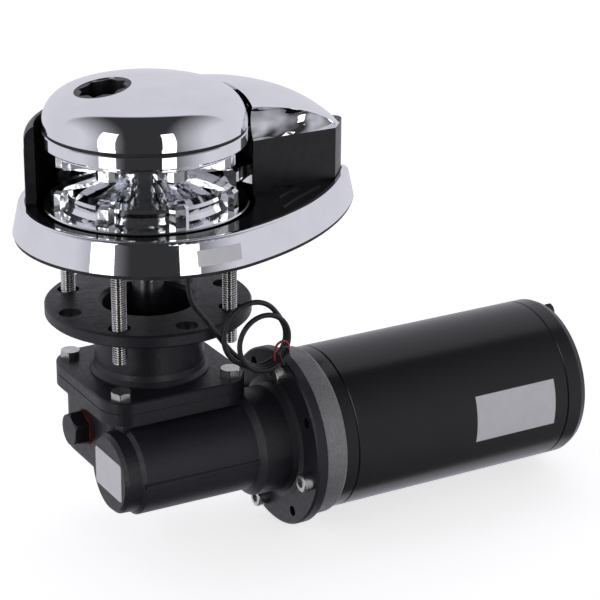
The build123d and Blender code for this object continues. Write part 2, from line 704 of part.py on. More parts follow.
def shaft_keys():
    return [
        keyway(GYPSY_Z + 1, GYPSY_Z + LOWER_CONE[2] - 1),
        keyway(UPPER_CONE_Z + 0.4, RING_TOP - 1),
        keyway(WORM_Z - WHEEL_W / 2, WORM_Z + WHEEL_W / 2),
    ]


def worm_wheel():
    tip = WHEEL_R + MODULE * 0.9
    root = WHEEL_R - MODULE * 1.15
    z0 = WORM_Z - WHEEL_W / 2
    z1 = WORM_Z + WHEEL_W / 2
    body = rod(tip, z0, z1) + rod(14.5, CHAMBER_FLOOR - FLOOR_T, z1 + 2.5)
    step = 360 / WHEEL_TEETH
    lead = degrees(PITCH / (2 * pi * WORM_R) / WHEEL_R)
    gap_half = (1 - TOOTH_SHARE) * PITCH / 2
    flare = tan(radians(20)) * MODULE
    cutter_sections = []
    for z in (z0 - 1, z1 + 1):
        gap = Polyline(
            (-gap_half + flare * 1.1, -root, z), (gap_half - flare * 1.1, -root, z),
            (gap_half + flare * 0.95, -tip - 1, z), (-gap_half - flare * 0.95, -tip - 1, z), close=True)
        cutter_sections.append((Rot(0, 0, lead * (z - WORM_Z)) * gap).wire())
    cutter = Solid.make_loft(cutter_sections, True)
    body -= [Rot(0, 0, k * step) * cutter for k in range(WHEEL_TEETH)]
    body -= rod(SHAFT_R, z0 - 20, z1 + 10)
    return body - keyway(z0, z1)


def wheel_spacer():
    return pipe(SHAFT_R, SHAFT_R + 3, WORM_Z + WHEEL_W / 2 + 2.5, SEAM_Z)


# Bearings
def bearing(size, low):
    """Ball bearing along Z from height low: its outer ring, inner ring and balls."""
    bore, outer, width = size
    depth = outer - bore
    pitch_r = bore + depth / 2
    ball_r = depth * 0.28
    centre = low + width / 2
    outer_ring = pipe(pitch_r + depth * 0.2, outer, low, low + width)
    outer_ring -= Pos(0, 0, centre) * Torus(pitch_r, ball_r + 0.02)
    inner_ring = pipe(bore, pitch_r - depth * 0.2, low, low + width)
    inner_ring -= Pos(0, 0, centre) * Torus(pitch_r, ball_r + FIT)
    balls = []
    for k in range(BALLS):
        x, y = polar(pitch_r, k * 360 / BALLS)
        balls.append(Pos(x, y, centre) * Sphere(ball_r))
    return outer_ring, inner_ring, balls


def lay_on_worm_axis(piece):
    """Turn a piece built along Z so that it lies along the worm axis."""
    return Pos(0, WORM_Y, WORM_Z) * Rot(0, 90, 0) * piece


# Gearbox castings
def gearbox_cover():
    body = turned([
        (BORE_R, SEAM_Z), (NECK_OUT_R + 2.5, SEAM_Z), (NECK_OUT_R + 2.5, PLATE_Z + 0.8),
        (NECK_OUT_R + 0.8, PLATE_Z + 3),
        (NECK_OUT_R, PLATE_Z + 6), (NECK_OUT_R, FLANGE_Z - FLANGE_T - 3),
        (NECK_OUT_R + 3, FLANGE_Z - FLANGE_T),
        (FLANGE_R - 1, FLANGE_Z - FLANGE_T), (FLANGE_R, FLANGE_Z - FLANGE_T + 1), (FLANGE_R, FLANGE_Z - 1),
        (FLANGE_R - 1, FLANGE_Z), (BORE_R + 2, FLANGE_Z), (BORE_R, FLANGE_Z - 2),
    ])
    plate = square_plate(PLATE_HALF, PLATE_CORNER, SEAM_Z, PLATE_Z)
    plate = chamfer(plate.edges().group_by(Axis.Z)[-1], 0.8)
    bottom = rod(BORE_R + 1, SEAM_Z, SEAM_Z + 16)
    body = body + plate + bottom
    body -= rod(MAIN_BEARING[1], SEAM_Z - 1, SEAM_Z + 17)
    for k in range(FLANGE_HOLES):
        x, y = polar(STUD_PCD / 2, k * 360 / FLANGE_HOLES)
        body -= rod(FLANGE_HOLE_R, FLANGE_Z - FLANGE_T - 1, FLANGE_Z + 1, x, y)
    for x, y in bolt_corners():
        body -= rod(3.2, SEAM_Z - 1, PLATE_Z + 1, x, y)
    return body


def bolt_corners():
    half = BOLT_SPAN / 2
    return [(sx * half, sy * half) for sx in (-1, 1) for sy in (-1, 1)]


def main_seal():
    low = SEAM_Z + MAIN_BEARING[2]
    return pipe(SHAFT_R + 0.05, MAIN_BEARING[1], low, low + 6)


def cover_bolts():
    return [Pos(x, y, PLATE_Z) * hexagon_bolt(10, 4, 3, 16) for x, y in bolt_corners()]


def seam_gasket():
    sheet = square_plate(PLATE_HALF - 0.3, PLATE_CORNER, CASE_TOP, SEAM_Z)
    sheet -= rod(CHAMBER_R, CASE_TOP - 1, SEAM_Z + 1)
    for x, y in bolt_corners():
        sheet -= rod(3.2, CASE_TOP - 1, SEAM_Z + 1, x, y)
    return sheet


def gear_case():
    ledge = square_plate(PLATE_HALF, PLATE_CORNER, CASE_TOP - CHAMBER_LEDGE, CASE_TOP)
    chamber = square_plate(CHAMBER_HALF, CHAMBER_CORNER, CHAMBER_FLOOR - FLOOR_T, CASE_TOP - 1)
    chamber = fillet(chamber.edges().group_by(Axis.Z)[0], 4)
    foot = rod(FOOT_R, FOOT_Z, CHAMBER_FLOOR)
    foot = fillet(foot.edges().sort_by(Axis.Z)[0], 2)
    body = ledge + chamber + foot + worm_case()
    body -= rod(CHAMBER_R, CHAMBER_FLOOR, CASE_TOP + 1)
    body -= rod(16.0, MAIN_BEARING_Z[0], CHAMBER_FLOOR + 1)
    body -= rod(MAIN_BEARING[1], MAIN_BEARING_Z[0], MAIN_BEARING_Z[0] + MAIN_BEARING[2])
    body -= rod_x(WORM_BEARING[1], WORM_BEARING_X[0], MOTOR_FLANGE_FACE + 1)
    for x, y in bolt_corners():
        body -= rod(3.0, PLATE_Z - 16.5, CASE_TOP + 1, x, y)
    body -= rod_x(6.0, -CHAMBER_HALF - 1, -CHAMBER_HALF + 10, PLUG_Y, PLUG_Z)
    for k in range(4):
        y, z = worm_face(SCREW_PCD_R, SCREW_DEG - 90 * k)
        body -= rod_x(3.0, MOTOR_FLANGE_X - 1, MOTOR_FLANGE_FACE + 1, y, z)
        y, z = worm_face(SCREW_PCD_R + 0.5, SCREW_DEG - 45 - 90 * k)
        body -= rod_x(2.9, MOTOR_FLANGE_X - 1, MOTOR_FLANGE_FACE + 1, y, z)
    return body


def worm_case():
    """Round case of the worm with its nose, side rib, motor collar and motor flange."""
    nose_x = WORM_CASE_X + WORM_NOSE_L
    body = turned_x([
        (WORM_CASE_X, 0), (WORM_CASE_X, WORM_NOSE_R - 2), (WORM_CASE_X + 2, WORM_NOSE_R),
        (nose_x, WORM_NOSE_R + 0.4),
        (nose_x + 2, WORM_CASE_R), (COLLAR_X - 3, WORM_CASE_R + 0.4), (COLLAR_X, CASE_COLLAR_R),
        (MOTOR_FLANGE_X - 4, CASE_COLLAR_R + 0.5), (MOTOR_FLANGE_X - 1.2, CASE_COLLAR_R + 2),
        (MOTOR_FLANGE_X, CASE_COLLAR_R + 5), (MOTOR_FLANGE_X, MOTOR_FLANGE_R - 1),
        (MOTOR_FLANGE_X + 1, MOTOR_FLANGE_R),
        (MOTOR_FLANGE_FACE, MOTOR_FLANGE_R), (MOTOR_FLANGE_FACE, 0),
    ])
    side = block(nose_x + 1, COLLAR_X + 1, WORM_Y - WORM_CASE_R - 1.0, WORM_Y, WORM_Z - 1.6, WORM_Z + 1.2)
    side = chamfer(side.edges().filter_by(Axis.X), 0.7)
    web = block(-CHAMBER_HALF + 2, COLLAR_X + 6, WORM_Y - 2, 0, WORM_Z, CASE_TOP - CHAMBER_LEDGE + 0.5)
    return body + side + (web - rod(CHAMBER_R, CHAMBER_FLOOR, CASE_TOP))


def filler_plug():
    head = along_x(-CHAMBER_HALF - 1.5, PLUG_Y, PLUG_Z) * hexagon_bolt(17, 8, 5.9, 6)
    return head


def plug_washer():
    return pipe_x(6.1, 9.5, -CHAMBER_HALF - 1.5, -CHAMBER_HALF, PLUG_Y, PLUG_Z)


def worm_seal():
    return pipe_x(WORM_BEARING[0] + 0.05, WORM_BEARING[1], 42, 49)


def flange_screws():
    screws = []
    for k in range(4):
        y, z = worm_face(SCREW_PCD_R, SCREW_DEG - 90 * k)
        screws.append(along_x(MOTOR_FLANGE_X, y, z) * cap_screw(5, 6, 3, 14))
    return screws


# Worm and motor shaft line
def worm():
    tip = WORM_R + MODULE * 0.85
    root = WORM_R - MODULE * 1.1
    half = TOOTH_SHARE * PITCH / 2
    flare = tan(radians(20)) * MODULE
    turns = 2 * (WORM_HALF - PITCH / 2) / PITCH
    helix = Helix(PITCH, turns * PITCH, root)
    section = Polyline(
        (root - 0.4, 0, -half - flare), (tip, 0, -half + flare * 0.85),
        (tip, 0, half - flare * 0.85), (root - 0.4, 0, half + flare), close=True)
    thread = sweep(make_face(section), path=helix, is_frenet=True)
    phase = -360 * turns / 2
    thread = Rot(0, 0, phase) * Pos(0, 0, -turns * PITCH / 2) * thread
    core = rod(root, -WORM_HALF - 1, WORM_HALF + 1)
    line = core + thread
    line += rod(9.5, WORM_BEARING_X[0] + WORM_BEARING[2], -WORM_HALF)
    line += rod(9.5, WORM_HALF, WORM_BEARING_X[1])
    line += rod(WORM_BEARING[0], WORM_BEARING_X[0] + 0.5, -WORM_HALF)
    line += rod(WORM_BEARING[0], WORM_HALF, MOTOR_FLANGE_FACE + 2)
    return Pos(0, WORM_Y, WORM_Z) * Rot(0, 90, 0) * Rot(0, 0, 90) * line


def coupling():
    return pipe_x(WORM_BEARING[0], 12.0, MOTOR_FLANGE_FACE - 5, MOTOR_FLANGE_FACE + 11)


def armature_shaft():
    return rod_x(MOTOR_SHAFT_R, MOTOR_FLANGE_FACE + 2, MOTOR_SEAM_X + 6)


def armature_core():
    body = pipe_x(MOTOR_SHAFT_R, CORE_R, *CORE_X)
    top = WORM_Z + CORE_R
    slot = block(CORE_X[0] - 1, CORE_X[1] + 1, WORM_Y - 1.2, WORM_Y + 1.2, top - 2.5, top + 2)
    axis = Axis((0, WORM_Y, WORM_Z), (1, 0, 0))
    return body - [slot.rotate(axis, k * 360 / SLOTS) for k in range(SLOTS)]


def end_windings():
    ends = []
    for x0, x1 in ((CORE_X[0] - 8, CORE_X[0]), (CORE_X[1], CORE_X[1] + 9)):
        ends.append(turned_x([
            (x0, 14), (x0, CORE_R - 8.4), (x0 + 2.5, CORE_R - 4.4), (x1 - 2, CORE_R - 3.4),
            (x1, CORE_R - 4.4), (x1, 14)]))
    return ends


def commutator():
    return pipe_x(MOTOR_SHAFT_R, COMMUTATOR_R, *COMMUTATOR_X)


# Motor case
def motor_adapter():
    body = turned_x([
        (MOTOR_FLANGE_FACE, 14), (MOTOR_FLANGE_FACE, ADAPTER_R - 0.8), (MOTOR_FLANGE_FACE + 0.8, ADAPTER_R),
        (BELL_X - 1.5, ADAPTER_R - 0.4), (BELL_X, ADAPTER_R - 1.4), (BELL_X, 33),
        (MOTOR_FLANGE_FACE + 5, 33), (MOTOR_FLANGE_FACE + 5, 14),
    ])
    for k in range(4):
        y, z = worm_face(SCREW_PCD_R, SCREW_DEG - 90 * k)
        body -= rod_x(3.0, MOTOR_FLANGE_FACE - 1, MOTOR_FLANGE_FACE + 8.5, y, z)
    return body


def motor_bell():
    body = turned_x([
        (BELL_X, WORM_BEARING[1] - 3), (BELL_X, MOTOR_R - 0.5), (BELL_X + 0.5, MOTOR_R),
        (TUBE_X - 0.6, MOTOR_R),
        (TUBE_X, MOTOR_R - 0.6), (TUBE_X, TUBE_IN_R), (TUBE_X + 3, TUBE_IN_R), (TUBE_X + 3, TUBE_IN_R - 3),
        (BELL_X + 5, TUBE_IN_R - 5), (BELL_X + 5, 22), (BELL_X + 1 + WORM_BEARING[2], 22),
        (BELL_X + 1 + WORM_BEARING[2], WORM_BEARING[1]), (BELL_X + 1, WORM_BEARING[1]),
        (BELL_X + 1, WORM_BEARING[1] - 3),
    ])
    return body - [rod_x(TIE_BOLT_R, BELL_X + 1.5, TUBE_X + 4, *worm_face(TIE_R, a)) for a in TIE_DEGS]


def motor_tube():
    body = pipe_x(TUBE_IN_R, MOTOR_R, TUBE_X, MOTOR_SEAM_X)
    return chamfer(body.edges().filter_by(GeomType.CIRCLE).sort_by(SortBy.RADIUS)[-2:], 0.5)


def magnets():
    ring = pipe_x(TUBE_IN_R - MAGNET_T, TUBE_IN_R, *MAGNET_X)
    axis = Axis((0, WORM_Y, WORM_Z), (1, 0, 0))
    far = 80.0
    half = radians(MAGNET_DEG / 2)
    wedge = make_face(Polyline(
        (MAGNET_X[0], WORM_Y, WORM_Z), (MAGNET_X[0], WORM_Y + far * sin(half), WORM_Z + far * cos(half)),
        (MAGNET_X[0], WORM_Y - far * sin(half), WORM_Z + far * cos(half)), close=True))
    sector = extrude(wedge, MAGNET_X[1] - MAGNET_X[0], dir=(1, 0, 0))
    one = ring & sector
    return [one.rotate(axis, 45 + 90 * k) for k in range(4)]


def motor_rear_cap():
    body = turned_x([
        (MOTOR_SEAM_X - 3, TUBE_IN_R - 3), (MOTOR_SEAM_X - 3, TUBE_IN_R), (MOTOR_SEAM_X, TUBE_IN_R),
        (MOTOR_SEAM_X, MOTOR_R - 0.6), (MOTOR_SEAM_X + 0.6, MOTOR_R), (MOTOR_END_X - 5, MOTOR_R),
        (MOTOR_END_X - 1.5, MOTOR_R - 1.5), (MOTOR_END_X, MOTOR_R - 5), (MOTOR_END_X, 0),
        (MOTOR_SEAM_X + 7, 0),
        (MOTOR_SEAM_X + 7, 11), (MOTOR_SEAM_X - 3, 11), (MOTOR_SEAM_X - 3, 15), (MOTOR_SEAM_X + 7, 18),
    ])
    for a in TIE_DEGS:
        body -= rod_x(TIE_BOLT_R, MOTOR_SEAM_X - 5, MOTOR_END_X + 1, *worm_face(TIE_R, a))
    for y, z in terminal_places():
        body -= rod_x(3.0, MOTOR_SEAM_X, MOTOR_END_X + 1, y, z)
    return body


def rear_bush():
    return pipe_x(MOTOR_SHAFT_R + RUN_FIT, 11, MOTOR_SEAM_X - 3, MOTOR_SEAM_X + 7)


def terminal_places():
    return [(WORM_Y + dy, WORM_Z - 22) for dy in (-14, 14)]


def terminal_studs():
    studs = []
    for y, z in terminal_places():
        nut = along_x(MOTOR_END_X + 2, y, z, True) * extrude(RegularPolygon(5, 6, major_radius=False), 5)
        stud = rod_x(3, MOTOR_END_X - 7, MOTOR_END_X + 14, y, z) + nut
        studs.append(stud)
    return studs


def terminal_washers():
    return [pipe_x(3.1, 7.5, MOTOR_END_X, MOTOR_END_X + 2, y, z) for y, z in terminal_places()]


def tie_bolts():
    bolts = []
    for a in TIE_DEGS:
        y, z = worm_face(TIE_R, a)
        length = MOTOR_END_X - BELL_X - 2
        bolts.append(along_x(MOTOR_END_X, y, z, True) * hexagon_bolt(8, 3.5, TIE_BOLT_R, length))
    return bolts


def brush_holder():
    x0, x1 = COMMUTATOR_X
    body = pipe_x(21, TUBE_IN_R, x1 + 1, x1 + 4)
    axis = Axis((0, WORM_Y, WORM_Z), (1, 0, 0))
    box = block(x0, x1 + 2, WORM_Y - 5, WORM_Y + 5, WORM_Z + 20, WORM_Z + 34)
    body += [box.rotate(axis, 45 + 90 * k) for k in range(4)]
    hole = block(x0 + 1.5, x1 - 1.5, WORM_Y - 3.5, WORM_Y + 3.5, WORM_Z + 15, WORM_Z + 40)
    body -= [hole.rotate(axis, 45 + 90 * k) for k in range(4)]
    return body - [rod_x(TIE_BOLT_R + 0.2, x0, x1 + 5, *worm_face(TIE_R, a)) for a in TIE_DEGS]


def brushes():
    x0, x1 = COMMUTATOR_X
    axis = Axis((0, WORM_Y, WORM_Z), (1, 0, 0))
    one = block(x0 + 1.6, x1 - 1.6, WORM_Y - 3.4, WORM_Y + 3.4, WORM_Z + COMMUTATOR_R - 1, WORM_Z + 30)
    one -= rod_x(COMMUTATOR_R + FIT, x0, x1)
    return [one.rotate(axis, 45 + 90 * k) for k in range(4)]


# Labels without print
def labels():
    skin = 0.25
    rim = rim_loft(-skin) - rim_loft(0)
    rim_label = rim & block(-7, 17.5, -90, -40, 5.5, 13.5)
    worm_label = block(
        WORM_CASE_X - skin, WORM_CASE_X, WORM_Y - 15.5, WORM_Y + 15.5, WORM_Z - 10.5, WORM_Z + 10.5)
    worm_label = fillet(worm_label.edges().filter_by(Axis.X), 2)
    tube = pipe_x(MOTOR_R, MOTOR_R + skin, MOTOR_SEAM_X - 61, MOTOR_SEAM_X - 9)
    motor_label = tube & block(TUBE_X, MOTOR_SEAM_X, WORM_Y - 60, WORM_Y, WORM_Z - 9, WORM_Z + 17)
    return [rim_label, worm_label, motor_label]


# Chain counter and its lead
def chain_counter():
    body = rod(SENSOR_R, 0, PLATE_TOP - 1.2, SENSOR_X, SENSOR_Y)
    return body + rod(GLAND_R, -6, 1, SENSOR_X, SENSOR_Y)


def counter_lead():
    points = [Vector(*p) for p in LEAD_POINTS]
    radii = arc_radii(points)
    path = FilletPolyline(*points, radius=radii)
    section = Plane(points[0], z_dir=points[1] - points[0]) * Circle(LEAD_R)
    lead = sweep(section, path=path)
    print("lead radii", [round(r, 1) for r in radii], "length", round(path.length, 1))
    print("lead volume", round(lead.volume, 1), "section times length", round(pi * LEAD_R ** 2 * path.length, 1))
    return (lead - lead_coil()).solids().sort_by(SortBy.VOLUME)[-1]


def arc_radii(points):
    """Largest arc each corner of a route has room for."""
    radii = []
    for before, at, after in zip(points, points[1:], points[2:]):
        run = min((at - before).length, (after - at).length)
        turn = radians((at - before).get_angle(after - at))
        radii.append(0.45 * run / tan(turn / 2))
    return radii


def lead_coil():
    """Outer shape of the two crossing loops, each as thick as the turns that lie in it."""
    coil = None
    for x, z, radius, y1, y0 in COIL_RINGS:
        ring = Pos(x, (y0 + y1) / 2, z) * Rot(90, 0, 0) * (
            Cylinder(radius + COIL_HALF, y1 - y0) - Cylinder(radius - COIL_HALF, y1 - y0 + 2))
        ring = fillet(ring.edges().filter_by(GeomType.CIRCLE), COIL_HALF * 0.6)
        coil = ring if coil is None else coil + ring
    return coil


def lead_tails():
    """Two thin conductors that leave the end of the coil."""
    tails = []
    for route in TAIL_ROUTES:
        points = [Vector(*p) for p in route]
        path = FilletPolyline(*points, radius=arc_radii(points))
        section = Plane(points[0], z_dir=points[1] - points[0]) * Circle(TAIL_R)
        tails.append(sweep(section, path=path))
    both = tails[0] + tails[1] + Pos(*TAIL_ROUTES[0][0]) * Sphere(1.6)
    return (both - lead_coil()).solids().sort_by(SortBy.VOLUME)[-1]


main_top = bearing(MAIN_BEARING, MAIN_BEARING_Z[1])
main_low = bearing(MAIN_BEARING, MAIN_BEARING_Z[0])
worm_rear = bearing(WORM_BEARING, WORM_BEARING_X[0])
worm_front = bearing(WORM_BEARING, WORM_BEARING_X[1])
motor_front = bearing(WORM_BEARING, MOTOR_BEARING_X)

keep("deck_gasket", deck_gasket())
keep("base_plate", base_plate())
keep("shaft_bush", shaft_bush())
keep("shaft_collar", shaft_collar())
keep("lower_thrust_washer", lower_thrust_washer())
keep("deck_studs", *deck_studs())
keep("housing", housing())
keep("top_cover", top_cover())
keep("chain_stripper", chain_stripper())
keep("stripper_screws", *stripper_screws())
keep("gypsy", gypsy())
keep("counter_magnet", counter_magnet())
keep("lower_cone", lower_cone())
keep("clutch_ring", clutch_ring())
keep("cap", cap())
keep("lever_socket", lever_socket())
keep("cap_seal", cap_seal())
keep("cap_washer", cap_washer())
keep("main_shaft", main_shaft())
keep("shaft_keys", *shaft_keys())
keep("worm_wheel", worm_wheel())
keep("wheel_spacer", wheel_spacer())
keep("main_bearing_outers", main_top[0], main_low[0])
keep("main_bearing_inners", main_top[1], main_low[1])
keep("main_bearing_balls", *main_top[2], *main_low[2])
keep("gearbox_cover", gearbox_cover())
keep("main_seal", main_seal())
keep("cover_bolts", *cover_bolts())
keep("seam_gasket", seam_gasket())
keep("gear_case", gear_case())
keep("filler_plug", filler_plug())
keep("plug_washer", plug_washer())
keep("worm_seal", worm_seal())
keep("flange_screws", *flange_screws())
keep("worm", worm())
keep("worm_bearing_outers", *[lay_on_worm_axis(b[0]) for b in (worm_rear, worm_front, motor_front)])
keep("worm_bearing_inners", *[lay_on_worm_axis(b[1]) for b in (worm_rear, worm_front, motor_front)])
keep("worm_bearing_balls", *[lay_on_worm_axis(s) for b in (worm_rear, worm_front, motor_front) for s in b[2]])
keep("coupling", coupling())
keep("armature_shaft", armature_shaft())
keep("armature_core", armature_core())
keep("end_windings", *end_windings())
keep("commutator", commutator())
keep("motor_adapter", motor_adapter())
keep("motor_bell", motor_bell())
keep("motor_tube", motor_tube())
keep("magnets", *magnets())
keep("motor_rear_cap", motor_rear_cap())
keep("rear_bush", rear_bush())
keep("terminal_studs", *terminal_studs())
keep("terminal_washers", *terminal_washers())
keep("tie_bolts", *tie_bolts())
keep("brush_holder", brush_holder())
keep("brushes", *brushes())
keep("labels", *labels())
keep("chain_counter", chain_counter())
keep("counter_lead", counter_lead())
keep("lead_coil", lead_coil())
keep("lead_tails", lead_tails())
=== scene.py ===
"""Looks of the vertical anchor windlass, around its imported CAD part. All lengths are metres."""
import math

import bpy
import numpy as np
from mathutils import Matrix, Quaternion, Vector


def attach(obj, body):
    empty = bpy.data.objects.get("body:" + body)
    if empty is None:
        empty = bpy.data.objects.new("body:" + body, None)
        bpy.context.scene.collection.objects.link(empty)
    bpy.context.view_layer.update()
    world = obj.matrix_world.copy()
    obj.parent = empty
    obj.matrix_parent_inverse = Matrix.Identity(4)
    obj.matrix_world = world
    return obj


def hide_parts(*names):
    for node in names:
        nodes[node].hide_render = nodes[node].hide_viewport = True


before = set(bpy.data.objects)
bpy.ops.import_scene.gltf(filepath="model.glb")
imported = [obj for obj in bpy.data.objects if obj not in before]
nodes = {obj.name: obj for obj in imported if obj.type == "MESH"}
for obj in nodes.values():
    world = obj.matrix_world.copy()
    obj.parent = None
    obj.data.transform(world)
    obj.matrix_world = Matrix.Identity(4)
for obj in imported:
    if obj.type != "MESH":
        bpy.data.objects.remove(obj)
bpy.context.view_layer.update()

# Camera: a long lens to the left of the object's front, a little above the deck unit.
# Its place, pitch and roll were fitted to the ellipses of the base, flange and motor.
CAMERA_PLACE = (-0.4786, -0.9979, 0.3924)
CAMERA_TURN = math.radians(29.8)
CAMERA_PITCH = math.radians(21.29)
CAMERA_ROLL = math.radians(0.38)
CAMERA_LENS = 133.8
CAMERA_SENSOR = 36
camera_data = bpy.data.cameras.new("camera")
camera_data.lens = CAMERA_LENS
camera_data.sensor_width = CAMERA_SENSOR
camera = bpy.data.objects.new("camera", camera_data)
bpy.context.scene.collection.objects.link(camera)
camera.location = CAMERA_PLACE
look = Vector((
    math.sin(CAMERA_TURN) * math.cos(CAMERA_PITCH),
    math.cos(CAMERA_TURN) * math.cos(CAMERA_PITCH),
    -math.sin(CAMERA_PITCH),
))
camera.rotation_mode = "QUATERNION"
camera.rotation_quaternion = look.to_track_quat("-Z", "Y") @ Quaternion((0, 0, 1), CAMERA_ROLL)
bpy.context.scene.camera = camera


# Lead of the chain counter: a thin black jacketed lead, 2.8 mm across.
# It leaves the gland under the base and runs down beside the flange.
# There it is wound a little over two turns, in two crossing loops.
LEAD_WIDTH = 0.0028
LEAD_ROUTE = [(-7.4, -62.0, -6.0), (-7.4, -62.0, -16.0), (2.8, -61.0, -28.2),
              (12.2, -57.6, -41.6), (21.5, -57.4, -54.0), (31.3, -58.2, -61.5)]
BIG_LOOP = (30.0, -41.8, 17.2)
SMALL_LOOP = (35.6, -46.9, 15.2)
LOOP_STARTS = [(SMALL_LOOP, -88, 40), (BIG_LOOP, 26, 250), (SMALL_LOOP, 236, 690)]
LOOP_STEP = 24
LOOP_FIRST_Y = -59.2
LOOP_PITCH = 3.2
BIG_LOOP_SHIFT_DEG = 10


def coil_points():
    """Points of the coil in millimetres: arcs of two circles in upright planes that move by
    LOOP_PITCH towards -Y with each turn."""
    points = []
    for (x, z, radius), first, last in LOOP_STARTS:
        angles = np.linspace(first, last, max(2, round((last - first) / LOOP_STEP) + 1))
        turn = np.radians(angles)
        total = angles if (x, z, radius) != BIG_LOOP else angles + BIG_LOOP_SHIFT_DEG
        y = LOOP_FIRST_Y - LOOP_PITCH * total / 360
        points += list(zip(x + radius * np.cos(turn), y, z + radius * np.sin(turn)))
    return points


def spline_lead(name, points, width):
    """Curve with a round section along a route, given in millimetres."""
    curve = bpy.data.curves.new(name, "CURVE")
    curve.dimensions = "3D"
    curve.bevel_depth = width / 2
    curve.bevel_resolution = 4
    curve.resolution_u = 10
    curve.use_fill_caps = True
    spline = curve.splines.new("NURBS")
    spline.points.add(len(points) - 1)
    for place, point in zip(spline.points, points):
        place.co = (point[0] / 1000, point[1] / 1000, point[2] / 1000, 1)
    spline.order_u = 3
    spline.use_endpoint_u = True
    piece = bpy.data.objects.new(name, curve)
    bpy.context.scene.collection.objects.link(piece)
    return piece


def node_material(name, colour, metallic, roughness):
    """New material with a Principled shader, and the handles that its pattern needs."""
    made = bpy.data.materials.new(name)
    made.use_nodes = True
    tree = made.node_tree
    shader = next(n for n in tree.nodes if n.type == "BSDF_PRINCIPLED")
    shader.inputs["Base Color"].default_value = (*colour, 1)
    shader.inputs["Metallic"].default_value = metallic
    shader.inputs["Roughness"].default_value = roughness
    return made, tree, shader


def noise(tree, scale, detail=4.0, stretch=(1, 1, 1), rough=0.5):
    """Noise on Object coordinates, stretched along an axis where a finish has a direction."""
    place = tree.nodes.new("ShaderNodeTexCoord")
    mapping = tree.nodes.new("ShaderNodeMapping")
    mapping.inputs["Scale"].default_value = stretch
    texture = tree.nodes.new("ShaderNodeTexNoise")
    texture.inputs["Scale"].default_value = scale
    texture.inputs["Detail"].default_value = detail
    texture.inputs["Roughness"].default_value = rough
    tree.links.new(place.outputs["Object"], mapping.inputs["Vector"])
    tree.links.new(mapping.outputs["Vector"], texture.inputs["Vector"])
    return texture.outputs[0]


def spread(tree, value, low, high, start=0.3, end=0.7):
    """Maps a pattern from start..end to low..high."""
    ranged = tree.nodes.new("ShaderNodeMapRange")
    ranged.inputs["From Min"].default_value = start
    ranged.inputs["From Max"].default_value = end
    ranged.inputs["To Min"].default_value = low
    ranged.inputs["To Max"].default_value = high
    tree.links.new(value, ranged.inputs["Value"])
    return ranged.outputs["Result"]


def two_tone(tree, value, first, second, start=0.35, end=0.65):
    """Colour that runs from first to second with a pattern."""
    ramp = tree.nodes.new("ShaderNodeValToRGB")
    ramp.color_ramp.elements[0].position = start
    ramp.color_ramp.elements[0].color = (*first, 1)
    ramp.color_ramp.elements[1].position = end
    ramp.color_ramp.elements[1].color = (*second, 1)
    tree.links.new(value, ramp.inputs["Fac"])
    return ramp.outputs["Color"]


def relief(tree, shader, value, strength, depth):
    """Fine relief from a pattern, depth in metres."""
    bump = tree.nodes.new("ShaderNodeBump")
    bump.inputs["Strength"].default_value = strength
    bump.inputs["Distance"].default_value = depth
    tree.links.new(value, bump.inputs["Height"])
    tree.links.new(bump.outputs["Normal"], shader.inputs["Normal"])
    return bump


def dress(piece, made):
    """Gives a piece one material on all its faces."""
    piece.data.materials.clear()
    piece.data.materials.append(made)


def jacket_finish():
    """Black extruded jacket: satin, with faint waviness and dust."""
    made, tree, shader = node_material("lead_jacket", (0.012, 0.012, 0.013), 0.0, 0.38)
    tone = two_tone(tree, noise(tree, 400), (0.010, 0.010, 0.011), (0.022, 0.022, 0.024))
    tree.links.new(tone, shader.inputs["Base Color"])
    tree.links.new(spread(tree, noise(tree, 900), 0.32, 0.48), shader.inputs["Roughness"])
    relief(tree, shader, noise(tree, 1500), 0.25, 0.0002)
    return made


lead = spline_lead("counter_lead_line", LEAD_ROUTE + coil_points(), LEAD_WIDTH)
dress(lead, jacket_finish())
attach(lead, "fixed_unit")
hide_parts("counter_lead", "lead_coil")


# Conductors at the lead's end: one red and one black insulated wire.
# They spring out of the cut jacket beside the loops, and nothing is fixed to their ends.
WIRE_WIDTH = 0.0013
RED_ROUTE = [(48.8, -65.4, -54.5), (48.4, -66.6, -48.5), (43.0, -68.8, -45.0), (38.2, -68.6, -48.6),
             (39.0, -68.2, -55.8)]
BLACK_ROUTE = [(48.8, -65.4, -54.5), (47.2, -67.6, -50.0), (42.4, -69.8, -48.4), (40.0, -70.2, -53.0),
               (43.6, -69.8, -58.8)]


def wire_finish(name, colour):
    """PVC wire insulation, slightly glossy."""
    made, tree, shader = node_material(name, colour, 0.0, 0.3)
    deep = tuple(c * 0.7 for c in colour)
    tree.links.new(two_tone(tree, noise(tree, 700), deep, colour), shader.inputs["Base Color"])
    tree.links.new(spread(tree, noise(tree, 1400), 0.25, 0.4), shader.inputs["Roughness"])
    return made


wires = [
    spline_lead("red_conductor", RED_ROUTE, WIRE_WIDTH),
    spline_lead("black_conductor", BLACK_ROUTE, WIRE_WIDTH),
]
dress(wires[0], wire_finish("red_insulation", (0.35, 0.01, 0.02)))
dress(wires[1], wire_finish("black_insulation", (0.012, 0.012, 0.013)))
for wire in wires:
    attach(wire, "fixed_unit")
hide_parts("lead_tails")


# Chromed parts: base plate, tail cover, gypsy, clutch ring and cap.
# Cast brass, ground, polished and plated; the polish leaves faint swirls and handling marks.
CHROME = (0.86, 0.87, 0.89)


